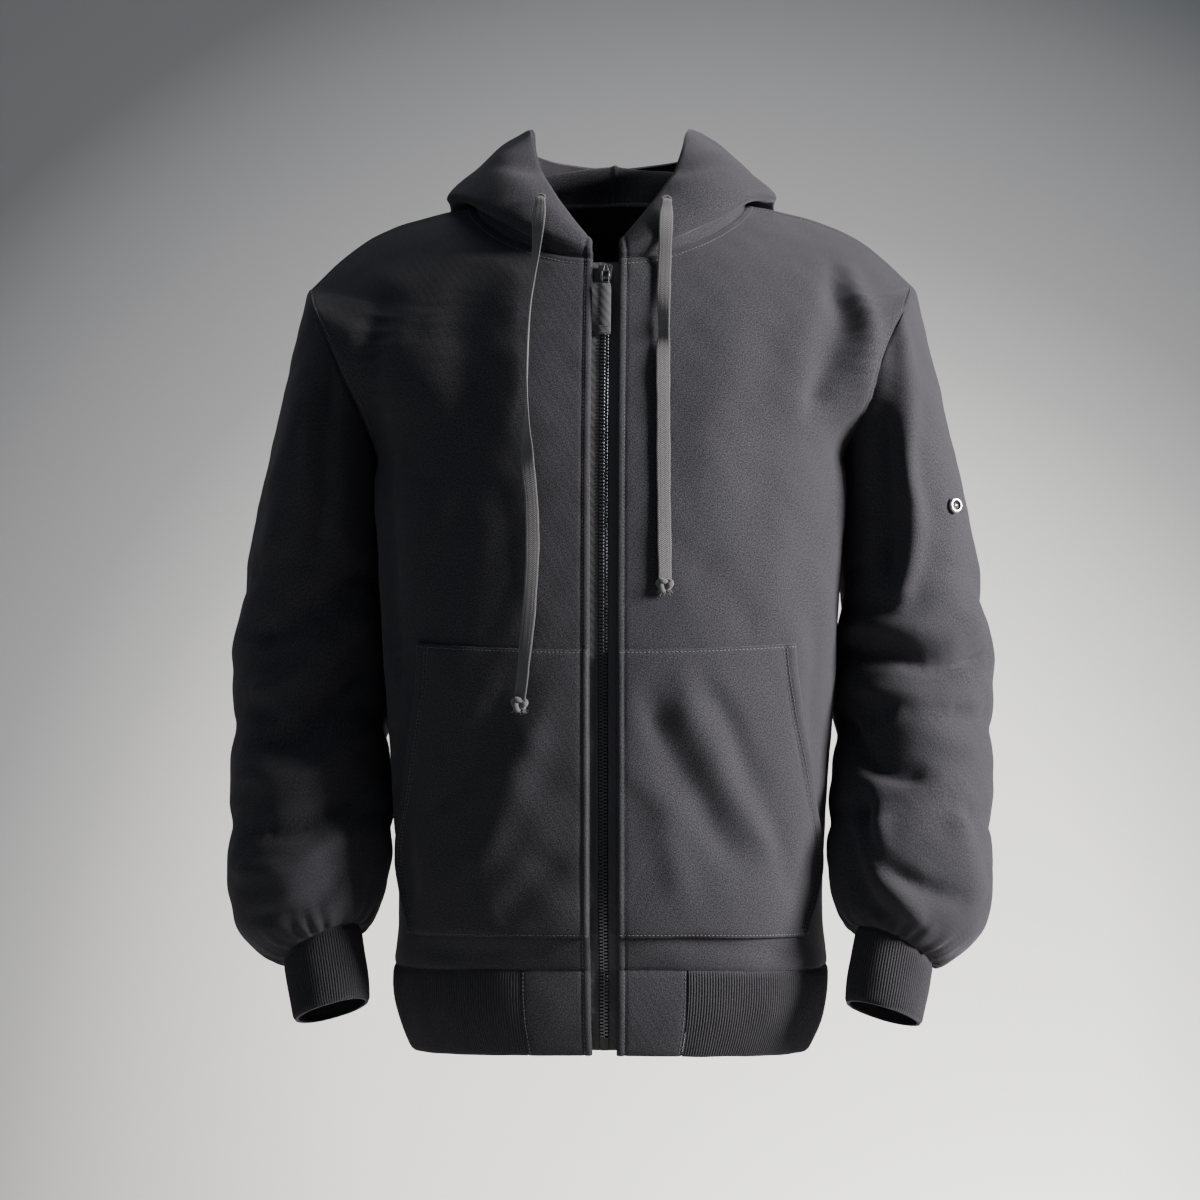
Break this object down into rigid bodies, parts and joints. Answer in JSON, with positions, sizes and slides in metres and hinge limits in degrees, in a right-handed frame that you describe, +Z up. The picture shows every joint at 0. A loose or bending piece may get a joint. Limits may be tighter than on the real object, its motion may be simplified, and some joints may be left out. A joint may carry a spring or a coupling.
{
  "type": "zip-up hoodie",
  "caption": "Worn-shape zip-up hoodie with the hood down, split front pocket, ribbed cuffs and hem, flat drawcords and a swinging zip pull.",
  "frame": {"origin": "midway between the two side neck points, where the wearer's shoulders carry the garment", "axes": "+Z up, the front faces -Y, +X is the wearer's left"},
  "size_m": [0.649, 0.3994, 0.7835],
  "materials": {
    "cloth": "brushed black sweatshirt cloth, matt",
    "rib": "black knitted rib, matt",
    "tape": "black woven zip tape",
    "cord": "charcoal flat cotton braid",
    "zip_metal": "gunmetal",
    "button": "dark nickel"
  },
  "bodies": {
    "garment": {"front_left": "cloth", "front_right": "cloth", "back": "cloth", "sleeve_left": "cloth", "sleeve_right": "cloth", "hood_left": "cloth", "hood_right": "cloth", "pocket_left": "cloth", "pocket_right": "cloth", "hem_block_left": "cloth", "hem_block_right": "cloth", "cuff_left": "rib", "cuff_right": "rib", "hem_rib": "rib", "zip_tape_left": "tape", "zip_tape_right": "tape", "drawcord_left": "cord", "drawcord_right": "cord", "knot_left": "cord", "knot_right": "cord", "zip_chain": "zip_metal", "zip_end": "zip_metal", "zip_slider": "zip_metal", "sleeve_button": "button"},
    "zip_pull": {"pull_link": "zip_metal", "pull_tab": "tape"}
  },
  "joints": [
    {"name": "pull_swing", "type": "hinge", "parent": "garment", "child": "zip_pull", "pos_m": [0, -0.10529, -0.0602], "axis": [-1, 0, 0], "range_deg": [0, 150]}
  ]
}
